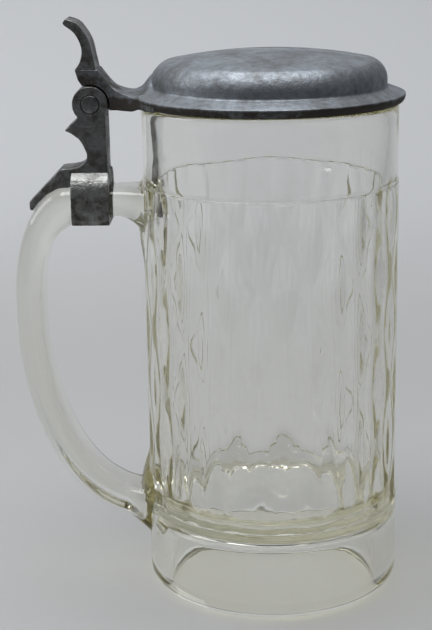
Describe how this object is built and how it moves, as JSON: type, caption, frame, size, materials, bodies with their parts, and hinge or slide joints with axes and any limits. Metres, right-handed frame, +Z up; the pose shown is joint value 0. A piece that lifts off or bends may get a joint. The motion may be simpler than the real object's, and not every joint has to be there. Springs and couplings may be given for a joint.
{
  "type": "lidded beer mug",
  "caption": "Tall pressed-glass beer mug with olive facets, a glass handle and a hinged pewter lid that a thumb lift opens.",
  "frame": {"origin": "bottom centre of the whole mug with its handle, on the surface it stands on; the axis of the glass body is 21.1 mm from it towards +X", "axes": "+Z up, parallel to the mug's axis; -X towards the handle and the hinge; the handle lies in the plane y = 0; the hinge axis is along Y"},
  "size_m": [0.1314, 0.0892, 0.1954],
  "materials": {
    "clear_glass": "clear pressed glass, fire polished, faint yellow-green at thick edges",
    "worn_pewter": "pewter band, worn brighter on its upper bevel",
    "dark_pewter": "cast pewter, dark and dull",
    "lid_pewter": "spun pewter, dull blue-grey with small dents and lighter patches",
    "hinge_pin_steel": "riveted pin, dull and dark"
  },
  "bodies": {
    "mug": {"glass_mug": "clear_glass", "handle_strap": "worn_pewter", "hinge_shank": "dark_pewter", "hinge_pin": "hinge_pin_steel"},
    "lid": {"lid": "lid_pewter", "lid_arm": "dark_pewter", "thumb_lift": "dark_pewter"}
  },
  "joints": [
    {"name": "lid_hinge", "type": "hinge", "parent": "mug", "child": "lid", "pos_m": [-0.03777, 0, 0.1677], "axis": [0, -1, 0], "range_deg": [0, 110]}
  ]
}
